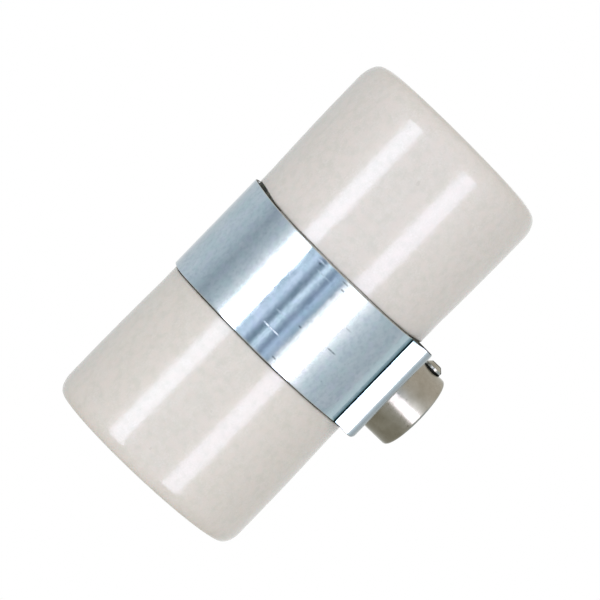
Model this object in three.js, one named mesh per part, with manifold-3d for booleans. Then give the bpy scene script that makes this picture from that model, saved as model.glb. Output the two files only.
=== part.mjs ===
// A twin lampholder: two glazed porcelain screw sockets stand back to back on one axis.
// A plated steel strap is wrapped round their joint, and its folded seat carries a threaded hub.
// Millimetres, +Z up. The hub points down and its end face lies on z = 0; the sockets open along +X and -X.
import * as THREE from 'three';
import { mergeVertices } from 'three/addons/utils/BufferGeometryUtils.js';
import Module from 'manifold-3d';

const wasm = await Module();
wasm.setup();

// ---- Driving dimensions ----------------------------------------------------------------------
const BODY_LENGTH = 93.4; // from mouth to mouth
const AXIS_Z = 32.7; // socket axis above the hub's end face
const GAP = 0.3; // clearance left between neighbouring pieces

// Porcelain cup, measured along its own axis from the joint between the two cups
const MOUTH_X = BODY_LENGTH / 2;
const FLOOR_X = 15; // floor of the lamp side
const WEB_BACK_X = 10; // back of the web, towards the wiring space
const GROOVE_R = 22.8; // seat of the strap
const GROOVE_HALF = 12;
const CHAMBER_R = 17.5;
const BORE_R = 14.3; // pocket for the screw shell
const BORE_END_X = 39;
const MOUTH_BORE_R = 16.3;
const LIP_DEPTH = 3.3; // rounding of the outer edge of the mouth, along the axis
const LIP_WIDTH = 4.6; // and across it
const LIP_FLAT = 1; // flat crest between the outer and the inner rounding
const LIP_INNER_R = 1.6;

// The two cups come from one mould but leave the kiln with slightly different girths
const CUPS = [
  { name: 'a', turn: 0, waistR: 22.95, mouthR: 23.4 },
  { name: 'b', turn: Math.PI, waistR: 23.2, mouthR: 23.6 },
];

// Lamp thread E27, rolled in thin sheet
const THREAD_PITCH = 3.629;
const THREAD_MINOR_R = 12.35;
const THREAD_DEPTH = 0.95;
const SHELL_SHEET = 0.5;
const SHELL_BOTTOM_X = FLOOR_X + 0.4;
const SHELL_TOP_X = 37.4;
const SHELL_PLAIN = 1.6; // plain band at either end of the thread
const SHELL_ROWS = 22;
const SHELL_SIDES = 28;
const LUG_HALF_WIDTH = 3.2;
const LUG_INNER_Y = 6.9;

// Strap, bent from one strip
const STRAP_SHEET = 0.8;
const STRAP_OUTER_R = 23.9;
const STRAP_WIDTH = 23.4;
const SEAT_HALF = 14.8; // half width of the folded seat, across the body
const SEAT_FACE = 24.65; // from the socket axis to the outer face of the seat
const BEND_R = 1.6; // outer radius of the two folds
const LAP_GAP = 0.15; // between the two layers of the seat
const STRAP_SIDES = 52;

// Hub and its locking screw
const HUB_R = 8.85;
const HUB_BORE_R = 4.6;
const HUB_CHAMFER = 0.7;
const SPIGOT_R = 6;
const RIVET_R = 7.2; // spigot rim, rolled over inside the seat
const RIVET_HEIGHT = 0.9;
const WIRE_HOLE_R = 7.7;
const GRUB_R = 2;
const GRUB_Z = 3.7;
const GRUB_TIP_X = 4.9;
const GRUB_OUT_X = 10.4;

// Fasteners: M2.5 holds shell and contact, M3 clamps the wires and ties the cups
const SMALL = { shankR: 1.25, headR: 2.2, headH: 1.4, slot: 0.6, sides: 14 };
const CLAMP = { shankR: 1.4, headR: 2.4, headH: 1.4, slot: 0.8, sides: 14 };
const TIE = { shankR: 1.45, headR: 2.7, headH: 1.9, slot: 0.8, sides: 16 };
const FIXING_RADIUS = 9.7; // fixing screws, from the socket axis
const FIXING_LENGTH = 9.3;
const TIE_Y = 9.6;
const TIE_Z = 5.8;
const TIE_POCKET_DEPTH = 2.6;
const TIE_NUT = { acrossFlats: 5.5, height: 2.2 };
const SMALL_NUT = { acrossFlats: 5, height: 2 };

// Terminal blocks
const BLOCK = { depth: 5.1, halfWidth: 2.9, length: 10.2, fixingInset: 2.7, clampPitch: 4.8 };
const BLOCK_TOP_X = WEB_BACK_X - GAP;
const WIRE_R = 1.3;
const WIRE_X = 7.2;
const WIRE_HOLE_DEPTH = 5.2;
const CLAMP_HEAD_X = 2.7; // underside of the clamp screw's head, backed off for a wire
const CLAMP_LENGTH = 3.4;
const CLAMP_HOLE_END_X = 7.9; // past the wire hole's axis, so that the screw can close on a thin wire

// Centre contact, bent from a springy strip
const CONTACT_SHEET = 0.4;
const CONTACT_WIDTH = 4;
const FOOT_X = FLOOR_X + GAP;
const FOOT_SHEET = 0.5;
const FOOT = { z0: 7.25, z1: 12.1, width: 4.8 };
const TONGUE = [[6.85, 15.6], [1.7, 19.1], [-1.4, 19.3], [-4.2, 17.8]]; // [z, x] along the strip
const PIP = { z: 0.1, r: 1.4, height: 0.5 };

const DISC_R = 22.3;
const DISC_HALF = 0.5;
const DISC_NOTCH_Z = -13.5;
const CUP_BACK_X = DISC_HALF + GAP;

const PORCELAIN_SIDES = 44;
const HOLE_SIDES = 12;
const CUTTER = 60; // longer than anything it cuts

// ---- Finishes --------------------------------------------------------------------------------
const finish = (color, roughness, metalness) => () =>
  new THREE.MeshStandardMaterial({ color, roughness, metalness });
const porcelain = finish('#d9d3cc', 0.16, 0);
const zinc = finish('#b9c4cd', 0.22, 1);
const satinSteel = finish('#96918a', 0.38, 1);
const brass = finish('#b9964f', 0.3, 1);
const nickel = finish('#bdb9ae', 0.28, 1);
const bronze = finish('#b98a52', 0.3, 1);
const steel = finish('#a9adb2', 0.32, 1);
const pressboard = finish('#8a5f3c', 0.8, 0);

// ---- Solids ----------------------------------------------------------------------------------
function signedVolume(position, index) {
  const a = new THREE.Vector3();
  const b = new THREE.Vector3();
  const c = new THREE.Vector3();
  let volume = 0;
  for (let i = 0; i < index.length; i += 3) {
    a.fromBufferAttribute(position, index[i]);
    b.fromBufferAttribute(position, index[i + 1]);
    c.fromBufferAttribute(position, index[i + 2]);
    volume += a.dot(b.cross(c));
  }
  return volume;
}

// Turns a closed three.js geometry into a solid whose faces look outwards.
function solid(geometry) {
  const bare = geometry.clone();
  bare.deleteAttribute('normal');
  bare.deleteAttribute('uv');
  const merged = mergeVertices(bare, 1e-4);
  const index = merged.index.array;
  const kept = [];
  for (let i = 0; i < index.length; i += 3) {
    const [a, b, c] = [index[i], index[i + 1], index[i + 2]];
    if (a !== b && b !== c && c !== a) kept.push(a, b, c);
  }
  if (signedVolume(merged.attributes.position, kept) < 0) kept.reverse();
  const mesh = new wasm.Mesh({
    numProp: 3,
    vertProperties: new Float32Array(merged.attributes.position.array),
    triVerts: new Uint32Array(kept),
  });
  return new wasm.Manifold(mesh);
}

// A solid of revolution round +X. Each outline point is [x, radius].
function turned(outline, sides) {
  const points = outline.map(([x, radius]) => new THREE.Vector2(radius, x));
  return solid(new THREE.LatheGeometry(points, sides).rotateZ(-Math.PI / 2));
}

// A round bar along +X from x0 to x1, its centre line at (y, z).
function barX(radius, x0, x1, y, z, sides = HOLE_SIDES) {
  const rod = new THREE.CylinderGeometry(radius, radius, x1 - x0, sides);
  return solid(rod.rotateZ(-Math.PI / 2).translate((x0 + x1) / 2, y, z));
}

// A round bar along +Z from z0 to z1, its centre line at (x, y).
function barZ(radius, z0, z1, x, y, sides = HOLE_SIDES) {
  const rod = new THREE.CylinderGeometry(radius, radius, z1 - z0, sides);
  return solid(rod.rotateX(Math.PI / 2).translate(x, y, (z0 + z1) / 2));
}

function box(x0, x1, y0, y1, z0, z1) {
  const block = new THREE.BoxGeometry(x1 - x0, y1 - y0, z1 - z0);
  return solid(block.translate((x0 + x1) / 2, (y0 + y1) / 2, (z0 + z1) / 2));
}

// A hexagonal bar along +X with two of its flats facing +Z and -Z.
function hexX(acrossFlats, x0, x1, y, z) {
  const radius = acrossFlats / Math.sqrt(3);
  const bar = new THREE.CylinderGeometry(radius, radius, x1 - x0, 6);
  return solid(bar.rotateZ(-Math.PI / 2).rotateX(Math.PI / 2).translate((x0 + x1) / 2, y, z));
}

// The outline of a bent sheet: a centre line given by points, thickened to both sides.
function sheetShape(line, thickness) {
  const left = [];
  const right = [];
  line.forEach((point, i) => {
    const before = line[Math.max(i - 1, 0)];
    const after = line[Math.min(i + 1, line.length - 1)];
    const back = point.clone().sub(before).normalize();
    const on = after.clone().sub(point).normalize();
    const tangent = back.clone().add(on).normalize();
    const normal = new THREE.Vector2(-tangent.y, tangent.x);
    const along = i === 0 ? on : back;
    const stretch = Math.abs(normal.x * along.y - normal.y * along.x);
    const offset = normal.multiplyScalar(thickness / 2 / stretch);
    left.push(point.clone().add(offset));
    right.push(point.clone().sub(offset));
  });
  return new THREE.Shape([...left, ...right.reverse()]);
}

// Extrudes a shape drawn in (across, up) along X, centred, and reads it as (y, z).
function extrudedAlongX(shape, width) {
  const bar = new THREE.ExtrudeGeometry(shape, { depth: width, bevelEnabled: false, steps: 1 });
  bar.translate(0, 0, -width / 2);
  const axes = new THREE.Matrix4().makeBasis(
    new THREE.Vector3(0, 1, 0),
    new THREE.Vector3(0, 0, 1),
    new THREE.Vector3(1, 0, 0),
  );
  return solid(bar.applyMatrix4(axes));
}

// Extrudes a shape drawn in (z, x) along Y, centred.
function extrudedAlongY(shape, width) {
  const bar = new THREE.ExtrudeGeometry(shape, { depth: width, bevelEnabled: false, steps: 1 });
  bar.translate(0, 0, -width / 2);
  const axes = new THREE.Matrix4().makeBasis(
    new THREE.Vector3(0, 0, 1),
    new THREE.Vector3(1, 0, 0),
    new THREE.Vector3(0, 1, 0),
  );
  return solid(bar.applyMatrix4(axes));
}

// Points on an ellipse's arc, from angle a0 to a1, as [x, radius].
function arc(centreX, centreR, halfX, halfR, a0, a1, steps) {
  return Array.from({ length: steps + 1 }, (_, i) => {
    const angle = a0 + ((a1 - a0) * i) / steps;
    return [centreX + halfX * Math.sin(angle), centreR + halfR * Math.cos(angle)];
  });
}

// A slotted cheese-head screw along +X: underside of the head at x = 0, slot facing +X.
function screw({ shankR, headR, headH, slot, sides }, length) {
  const edge = 0.3;
  const body = turned([
    [-length, 0],
    [-length, shankR - edge],
    [-length + edge, shankR],
    [0, shankR],
    [0, headR],
    [headH - edge, headR],
    [headH, headR - edge],
    [headH, 0],
  ], sides);
  const depth = headH * 0.5;
  return body.subtract(box(headH - depth, CUTTER, -slot / 2, slot / 2, -headR - 1, headR + 1));
}

function nut({ acrossFlats, height }, shankR, x0, y, z) {
  const bore = barX(shankR + GAP, x0 - 1, x0 + height + 1, y, z);
  return hexX(acrossFlats, x0, x0 + height, y, z).subtract(bore);
}

// ---- Pieces of one socket, in its own frame: mouth towards +X, hub side towards -Z ------------
function cup({ waistR, mouthR }) {
  const lipCentreR = mouthR - LIP_WIDTH;
  const lipX = MOUTH_X - LIP_DEPTH;
  const innerLipR = lipCentreR - LIP_FLAT;
  const flareX = MOUTH_X * 0.75;
  const outline = [
    [WEB_BACK_X, 0],
    [WEB_BACK_X, CHAMBER_R],
    [CUP_BACK_X, CHAMBER_R],
    [CUP_BACK_X, GROOVE_R],
    [GROOVE_HALF, GROOVE_R],
    [GROOVE_HALF, waistR - 0.1],
    [GROOVE_HALF + 0.3, waistR],
    [(GROOVE_HALF + flareX) / 2, (waistR + mouthR) / 2 + 0.06],
    [flareX, mouthR],
    ...arc(lipX, lipCentreR, LIP_DEPTH, LIP_WIDTH, 0, Math.PI / 2, 5),
    ...arc(MOUTH_X - LIP_INNER_R, innerLipR, LIP_INNER_R, -LIP_INNER_R, Math.PI / 2, 0, 3),
    [BORE_END_X + 1, MOUTH_BORE_R - 0.6],
    [BORE_END_X, BORE_R],
    [FLOOR_X, BORE_R],
    [FLOOR_X, 0],
  ];
  let body = turned(outline, PORCELAIN_SIDES);
  const holeR = SMALL.shankR + GAP;
  const fixings = [[0, FIXING_RADIUS], [FIXING_RADIUS, 0], [-FIXING_RADIUS, 0]];
  for (const [y, z] of fixings) {
    body = body.subtract(barX(holeR, WEB_BACK_X - 1, FLOOR_X + 1, y, z));
  }
  for (const side of [1, -1]) {
    body = body.subtract(barX(TIE.shankR + GAP, WEB_BACK_X - 1, FLOOR_X + 1, side * TIE_Y, TIE_Z));
  }
  const pocketX = FLOOR_X - TIE_POCKET_DEPTH;
  const headPocket = barX(TIE.headR + GAP, pocketX, FLOOR_X + 1, TIE_Y, TIE_Z, 16);
  const nutPocket = hexX(TIE_NUT.acrossFlats + 2 * GAP, pocketX, FLOOR_X + 1, -TIE_Y, TIE_Z);
  const wireHole = barZ(WIRE_HOLE_R, -CUTTER, -CHAMBER_R * 0.8, 0, 0, 28);
  return body.subtract(headPocket).subtract(nutPocket).subtract(wireHole);
}

// The rolled thread: a thin tube whose radius follows a right-handed helix.
function screwShell() {
  const length = SHELL_TOP_X - SHELL_BOTTOM_X;
  const rows = Array.from({ length: SHELL_ROWS + 1 }, (_, i) => (length * i) / SHELL_ROWS);
  const outer = rows.map((s) => new THREE.Vector2(THREAD_MINOR_R + SHELL_SHEET, s));
  const inner = rows.map((s) => new THREE.Vector2(THREAD_MINOR_R, s)).reverse();
  const tube = new THREE.LatheGeometry([...outer, ...inner, outer[0].clone()], SHELL_SIDES);
  const position = tube.attributes.position;
  const point = new THREE.Vector3();
  for (let i = 0; i < position.count; i += 1) {
    point.fromBufferAttribute(position, i);
    const radius = Math.hypot(point.x, point.z);
    const turn = Math.atan2(point.x, point.z) / (2 * Math.PI);
    const wave = 0.5 - 0.5 * Math.cos(2 * Math.PI * (point.y / THREAD_PITCH - turn));
    const fromEnd = Math.min(point.y, length - point.y) / SHELL_PLAIN;
    const strength = THREE.MathUtils.smoothstep(fromEnd, 0, 1.4);
    const scale = (radius + THREAD_DEPTH * wave * strength) / radius;
    position.setXYZ(i, point.x * scale, point.y, point.z * scale);
  }
  let shell = solid(tube.rotateZ(-Math.PI / 2).translate(SHELL_BOTTOM_X, 0, 0));
  const lugTop = SHELL_BOTTOM_X + SHELL_SHEET;
  const plate = barX(THREAD_MINOR_R + SHELL_SHEET / 2, SHELL_BOTTOM_X, lugTop, 0, 0, SHELL_SIDES);
  for (const side of [1, -1]) {
    const y0 = side > 0 ? LUG_INNER_Y : -CUTTER;
    const y1 = side > 0 ? CUTTER : -LUG_INNER_Y;
    const strip = box(SHELL_BOTTOM_X - 1, lugTop + 1, y0, y1, -LUG_HALF_WIDTH, LUG_HALF_WIDTH);
    const hole = barX(SMALL.shankR + GAP, FLOOR_X, lugTop + 1, side * FIXING_RADIUS, 0);
    shell = shell.add(plate.intersect(strip)).subtract(hole);
  }
  return shell;
}

function contactFoot() {
  const half = FOOT.width / 2;
  const plate = box(FOOT_X, FOOT_X + FOOT_SHEET, -half, half, FOOT.z0, FOOT.z1);
  return plate.subtract(barX(SMALL.shankR + GAP, FLOOR_X, FLOOR_X + 2, 0, FIXING_RADIUS));
}

function contactTongue() {
  const line = TONGUE.map(([z, x]) => new THREE.Vector2(z, x));
  const strip = extrudedAlongY(sheetShape(line, CONTACT_SHEET), CONTACT_WIDTH);
  const pipX = TONGUE[1][1];
  const pip = turned([
    [0, 0],
    [0, PIP.r],
    [PIP.height * 0.6, PIP.r * 0.85],
    [PIP.height, PIP.r * 0.4],
    [PIP.height, 0],
  ], HOLE_SIDES);
  return strip.add(pip.translate([pipX, 0, PIP.z]));
}

// A brass block behind the web: fixing screw near one end, wire hole and clamp near the other.
function terminalBlock(y, fixingZ) {
  const z1 = fixingZ + BLOCK.fixingInset;
  const z0 = z1 - BLOCK.length;
  const back = BLOCK_TOP_X - BLOCK.depth;
  const half = BLOCK.halfWidth;
  const clampZ = fixingZ - BLOCK.clampPitch;
  const fixingHole = barX(SMALL.shankR + GAP, back + 0.6, BLOCK_TOP_X + 1, y, fixingZ);
  const clampHole = barX(CLAMP.shankR + GAP, back - 1, CLAMP_HOLE_END_X, y, clampZ);
  const wireHole = barZ(WIRE_R, z0 - 1, z0 + WIRE_HOLE_DEPTH, WIRE_X, y);
  return box(back, BLOCK_TOP_X, y - half, y + half, z0, z1)
    .subtract(fixingHole)
    .subtract(clampHole)
    .subtract(wireHole);
}

function clampScrew(y, fixingZ) {
  const facingBack = screw(CLAMP, CLAMP_LENGTH).rotate([0, 180, 0]);
  return facingBack.translate([CLAMP_HEAD_X, y, fixingZ - BLOCK.clampPitch]);
}

// ---- Pieces shared by both sockets ------------------------------------------------------------
const seatOuterZ = AXIS_Z - SEAT_FACE;
const outerLayerZ = seatOuterZ + STRAP_SHEET / 2;
const innerLayerZ = outerLayerZ + STRAP_SHEET + LAP_GAP;

// One strip: outer layer of the seat, fold, wall, once round the body, wall, fold, inner layer.
function clampStrap() {
  const wallY = SEAT_HALF - STRAP_SHEET / 2;
  const roundR = STRAP_OUTER_R - STRAP_SHEET / 2;
  const bendR = BEND_R - STRAP_SHEET / 2;
  const creaseAngle = Math.asin(wallY / roundR);
  const path = new THREE.Path();
  path.moveTo(wallY - 0.2, outerLayerZ);
  path.lineTo(-wallY + bendR, outerLayerZ);
  path.absarc(-wallY + bendR, outerLayerZ + bendR, bendR, -Math.PI / 2, -Math.PI, true);
  const first = -Math.PI / 2 - creaseAngle;
  const last = -Math.PI / 2 + creaseAngle - 2 * Math.PI;
  const line = path.getPoints(4);
  for (let i = 0; i <= STRAP_SIDES; i += 1) {
    const angle = first + ((last - first) * i) / STRAP_SIDES;
    line.push(new THREE.Vector2(roundR * Math.cos(angle), AXIS_Z + roundR * Math.sin(angle)));
  }
  const end = new THREE.Path();
  end.absarc(wallY - bendR, innerLayerZ + bendR, bendR, 0, -Math.PI / 2, true);
  end.lineTo(-wallY + 2, innerLayerZ);
  line.push(...end.getPoints(4));
  const strap = extrudedAlongX(sheetShape(line, STRAP_SHEET), STRAP_WIDTH);
  return strap.subtract(barZ(SPIGOT_R + GAP, 0, AXIS_Z / 2, 0, 0, 28));
}

// The hub stands on z = 0. Its spigot passes the seat and is rolled over inside.
function threadedHub() {
  const shoulderZ = seatOuterZ - 0.1;
  const rivetZ = innerLayerZ + STRAP_SHEET / 2 + 0.2;
  const topZ = rivetZ + RIVET_HEIGHT;
  const outline = [
    [0, HUB_BORE_R + HUB_CHAMFER],
    [0, HUB_R - HUB_CHAMFER],
    [HUB_CHAMFER, HUB_R],
    [shoulderZ, HUB_R],
    [shoulderZ, SPIGOT_R],
    [rivetZ, SPIGOT_R],
    [rivetZ, RIVET_R],
    [topZ - 0.4, RIVET_R],
    [topZ, RIVET_R - 0.5],
    [topZ, HUB_BORE_R],
    [HUB_CHAMFER, HUB_BORE_R],
    [0, HUB_BORE_R + HUB_CHAMFER],
  ];
  const hub = turned(outline, 36).rotate([0, -90, 0]);
  return hub.subtract(barX(GRUB_R + GAP, 0, CUTTER, 0, GRUB_Z, 16));
}

function grubScrew() {
  const edge = 0.3;
  const body = turned([
    [GRUB_TIP_X, 0],
    [GRUB_TIP_X, GRUB_R - 2 * edge],
    [GRUB_TIP_X + 2 * edge, GRUB_R],
    [GRUB_OUT_X - edge, GRUB_R],
    [GRUB_OUT_X, GRUB_R - edge],
    [GRUB_OUT_X, 0],
  ], 20).translate([0, 0, GRUB_Z]);
  const slot = box(GRUB_OUT_X - 1, CUTTER, -0.35, 0.35, GRUB_Z - 3, GRUB_Z + 3);
  return body.subtract(slot);
}

function insulatingDisc() {
  let disc = barX(DISC_R, -DISC_HALF, DISC_HALF, 0, 0, 40);
  for (const side of [1, -1]) {
    disc = disc.subtract(barX(TIE.shankR + GAP, -2, 2, side * TIE_Y, TIE_Z));
  }
  disc = disc.subtract(box(-2, 2, -WIRE_HOLE_R, WIRE_HOLE_R, -CUTTER, DISC_NOTCH_Z));
  return disc.translate([0, 0, AXIS_Z]);
}

// ---- Assembly ---------------------------------------------------------------------------------
const group = new THREE.Group();
group.name = 'twin_porcelain_lampholder';

function addPiece(name, shape, material) {
  const mesh = shape.getMesh();
  const geometry = new THREE.BufferGeometry();
  geometry.setAttribute('position', new THREE.BufferAttribute(mesh.vertProperties, 3));
  geometry.setIndex(new THREE.BufferAttribute(mesh.triVerts, 1));
  geometry.computeVertexNormals();
  const piece = new THREE.Mesh(geometry, material());
  piece.name = name;
  group.add(piece);
}

for (const socket of CUPS) {
  const { name, turn } = socket;
  const put = (piece, shape, material) => {
    const turnedRound = shape.rotate([0, 0, THREE.MathUtils.radToDeg(turn)]);
    addPiece(piece, turnedRound.translate([0, 0, AXIS_Z]), material);
  };
  const lugTop = SHELL_BOTTOM_X + SHELL_SHEET + GAP;
  const footTop = FOOT_X + FOOT_SHEET + GAP;
  const neutralY = -FIXING_RADIUS;
  put(`porcelain_socket_${name}`, cup(socket), porcelain);
  put(`screw_shell_${name}`, screwShell(), brass);
  for (const [number, side] of [[1, -1], [2, 1]]) {
    const fixing = screw(SMALL, FIXING_LENGTH).translate([lugTop, side * FIXING_RADIUS, 0]);
    put(`shell_screw_${name}${number}`, fixing, steel);
  }
  const nutX = WEB_BACK_X - GAP - SMALL_NUT.height;
  put(`shell_nut_${name}`, nut(SMALL_NUT, SMALL.shankR, nutX, FIXING_RADIUS, 0), nickel);
  put(`contact_foot_${name}`, contactFoot(), bronze);
  put(`contact_tongue_${name}`, contactTongue(), bronze);
  const contactFixing = screw(SMALL, FIXING_LENGTH).translate([footTop, 0, FIXING_RADIUS]);
  put(`contact_screw_${name}`, contactFixing, steel);
  put(`terminal_block_neutral_${name}`, terminalBlock(neutralY, 0), brass);
  put(`terminal_block_live_${name}`, terminalBlock(0, FIXING_RADIUS), brass);
  put(`clamp_screw_neutral_${name}`, clampScrew(neutralY, 0), nickel);
  put(`clamp_screw_live_${name}`, clampScrew(0, FIXING_RADIUS), nickel);

  // Each cup takes the head of one tie screw and the nut of the other
  const headX = FLOOR_X - TIE_POCKET_DEPTH + GAP;
  const tie = screw(TIE, 2 * headX + TIE_NUT.height).translate([headX, TIE_Y, TIE_Z]);
  put(`tie_screw_${name}`, tie, steel);
  put(`tie_nut_${name}`, nut(TIE_NUT, TIE.shankR, headX, -TIE_Y, TIE_Z), nickel);
}

addPiece('insulating_disc', insulatingDisc(), pressboard);
addPiece('clamp_strap', clampStrap(), zinc);
addPiece('threaded_hub', threadedHub(), satinSteel);
addPiece('hub_grub_screw', grubScrew(), steel);

export default group;
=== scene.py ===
import math

import bmesh
import bpy
from mathutils import Matrix, Vector, noise


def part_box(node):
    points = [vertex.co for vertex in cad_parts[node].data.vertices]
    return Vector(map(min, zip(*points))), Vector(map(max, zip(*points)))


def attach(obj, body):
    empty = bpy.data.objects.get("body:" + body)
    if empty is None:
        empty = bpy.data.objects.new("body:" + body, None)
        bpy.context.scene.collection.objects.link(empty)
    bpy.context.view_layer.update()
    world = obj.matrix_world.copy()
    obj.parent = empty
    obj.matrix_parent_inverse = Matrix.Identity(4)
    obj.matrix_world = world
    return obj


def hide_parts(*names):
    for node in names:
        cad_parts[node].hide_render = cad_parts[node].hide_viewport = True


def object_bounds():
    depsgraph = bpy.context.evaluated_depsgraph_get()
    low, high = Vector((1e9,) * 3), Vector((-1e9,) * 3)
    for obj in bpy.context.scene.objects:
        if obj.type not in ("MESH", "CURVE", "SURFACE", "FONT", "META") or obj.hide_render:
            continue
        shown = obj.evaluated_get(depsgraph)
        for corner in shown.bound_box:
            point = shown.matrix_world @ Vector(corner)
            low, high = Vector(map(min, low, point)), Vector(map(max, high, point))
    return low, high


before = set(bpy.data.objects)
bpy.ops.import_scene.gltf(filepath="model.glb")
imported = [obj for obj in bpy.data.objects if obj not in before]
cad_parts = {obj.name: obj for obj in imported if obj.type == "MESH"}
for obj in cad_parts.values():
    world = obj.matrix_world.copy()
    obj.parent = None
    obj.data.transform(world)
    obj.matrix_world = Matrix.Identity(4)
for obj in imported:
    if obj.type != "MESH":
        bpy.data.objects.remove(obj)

MM = 0.001
TAU = 2 * math.pi
cad_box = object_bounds()

# ---- Sizes, read from the frame where it holds them ----
STRAP_LOW, STRAP_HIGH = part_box("clamp_strap")
HUB_LOW, HUB_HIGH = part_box("threaded_hub")
STRAP_R = (STRAP_HIGH.y - STRAP_LOW.y) / 2
AXIS_Z = STRAP_HIGH.z - STRAP_R  # height of the axis that both sockets share
AXIS = Vector((0, 0, AXIS_Z))
SEAT_Z = STRAP_LOW.z  # outer face of the strap's flat seat

SHEET = 0.8 * MM  # thickness of the strap
LAP_GAP = 0.15 * MM  # between the strap's two lapped ends
LEAN = 0.34 * MM  # how far the near wall leans in at its foot
CORNER_A, CORNER_B = 0.45 * MM, 1.25 * MM  # rounded corners of the seat at either end, in front
SEAT_HALF = 14.3 * MM  # from the middle to the outer face of either wall
CREASE_Z = AXIS_Z - math.sqrt(STRAP_R**2 - SEAT_HALF**2)  # where the walls meet the round part
CUP_GAP = 0.15 * MM  # between the strap's edge and the cup beside it
MARK_HALF = 0.22 * MM  # half the width of a handling mark
FLOOR_X = 15 * MM  # floor of each socket, from the joint between the cups
WEB_BACK_X = 10 * MM  # the web's other face, towards that joint
TIE_Y, TIE_Z = 9.6 * MM, 5.8 * MM  # place of the tie screws, from the axis
FIXING_R = 9.7 * MM  # how far the shell and contact screws stand from the axis
FIXING_HEAD, TIE_HEAD = 1.4 * MM, 1.9 * MM  # height of the screws' heads
SKEW = 0.046  # slope of the strap's plane on the cups
STRAP_HALF = (STRAP_HIGH.x - STRAP_LOW.x) / 2
FRONT_WIDTH = 0.962  # the strap's width in front, compared with its nominal width
FRONT_FROM, FRONT_TO = 4 * MM, 20 * MM  # how far towards the front it narrows
SEAT_WIDTH = 0.99  # and its width at the seat
SEAT_SHIFT = -0.5 * MM  # the seat is folded a little off the middle
SIDES = {"a": 1, "b": -1}  # which way each socket's mouth looks along X
LAMP_PITCH = 3.629 * MM
WORN_BACK = {"a": 0.65 * MM, "b": 0.3 * MM}  # each mouth is this much short of its full length
LIPS = {  # rounding of each mouth: depth, width, and how far the rim's face falls back
    "a": (4.8 * MM, 2.6 * MM, 0.58 * MM),
    "b": (3.8 * MM, 2.2 * MM, 0.4 * MM),
}
MOUTH_TILT = 0.014  # slope of each mouth: it reaches further out on the side away from the hub


# ---- Mesh helpers ----
def arc(cx, cy, radius, a0, a1, steps):
    """Points on a circle's arc round (cx, cy), from angle a0 to a1."""
    angles = [a0 + (a1 - a0) * i / steps for i in range(steps + 1)]
    return [(cx + radius * math.cos(a), cy + radius * math.sin(a)) for a in angles]


def filleted(corners, steps=4):
    """A line through corners (x, y) or (x, y, fillet radius), with those corners rounded."""
    line = []
    for i, corner in enumerate(corners):
        here = Vector(corner[:2])
        radius = corner[2] if len(corner) > 2 else 0
        if radius == 0 or i in (0, len(corners) - 1):
            line.append(tuple(here))
            continue
        back = (Vector(corners[i - 1][:2]) - here).normalized()
        on = (Vector(corners[i + 1][:2]) - here).normalized()
        half = back.angle(on) / 2
        start = here + back * radius / math.tan(half)
        end = here + on * radius / math.tan(half)
        for k in range(steps + 1):
            t = k / steps
            line.append(tuple((1 - t) ** 2 * start + 2 * t * (1 - t) * here + t * t * end))
    return line


def subdivided(start, end, count):
    """Points from start to end, both ends included."""
    a, b = Vector(start), Vector(end)
    return [tuple(a.lerp(b, i / count)) for i in range(count + 1)]


def shade(bm, mesh, sharp_deg):
    """Writes bm to a mesh, with smooth faces and hard edges where the surface turns sharply."""
    for face in bm.faces:
        face.smooth = True
    for edge in bm.edges:
        edge.smooth = len(edge.link_faces) == 2 and edge.calc_face_angle(0) < math.radians(sharp_deg)
    bm.to_mesh(mesh)
    bm.free()


def placed(obj):
    """Puts an object into the scene."""
    bpy.context.scene.collection.objects.link(obj)
    return obj


def finish_mesh(name, bm, sharp_deg=35):
    """Turns bm into an object in the scene."""
    bmesh.ops.recalc_face_normals(bm, faces=bm.faces)
    mesh = bpy.data.meshes.new(name)
    shade(bm, mesh, sharp_deg)
    return placed(bpy.data.objects.new(name, mesh))


def revolve(name, outline, sides, shape=None, sharp_deg=35):
    """A solid of revolution round +X. The outline is (x, radius) and starts and ends on the axis,
    or comes back to its first point. shape(x, radius, angle) gives each point's own x and radius."""
    closed = outline[0] == outline[-1]
    stations = outline[:-1] if closed else outline
    bm = bmesh.new()
    uv = bm.loops.layers.uv.new("wrap")
    rings, travel = [], [0.0]
    for (x0, r0), (x1, r1) in zip(stations, stations[1:] + stations[:1]):
        travel.append(travel[-1] + math.hypot(x1 - x0, r1 - r0))
    for x, radius in stations:
        if radius < 1e-7:
            rings.append([bm.verts.new((x, 0, 0))])
            continue
        ring = []
        for k in range(sides):
            angle = TAU * k / sides
            at, r = shape(x, radius, angle) if shape else (x, radius)
            ring.append(bm.verts.new((at, r * math.cos(angle), r * math.sin(angle))))
        rings.append(ring)
    pairs = list(range(len(rings) - 1)) + ([len(rings) - 1] if closed else [])
    for i in pairs:
        a, b = rings[i], rings[(i + 1) % len(rings)]
        size = max(radius for _, radius in stations)
        for k in range(sides):
            n = (k + 1) % sides
            corners = [(a[k % len(a)], k, i), (b[k % len(b)], k, i + 1)]
            if len(b) > 1:
                corners.append((b[n], k + 1, i + 1))
            if len(a) > 1:
                corners.append((a[n], k + 1, i))
            face = bm.faces.new([vert for vert, _, _ in corners])
            for loop, (_, step, row) in zip(face.loops, corners):
                loop[uv].uv = (step / sides * TAU * size, travel[row])
    return finish_mesh(name, bm, sharp_deg)


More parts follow.
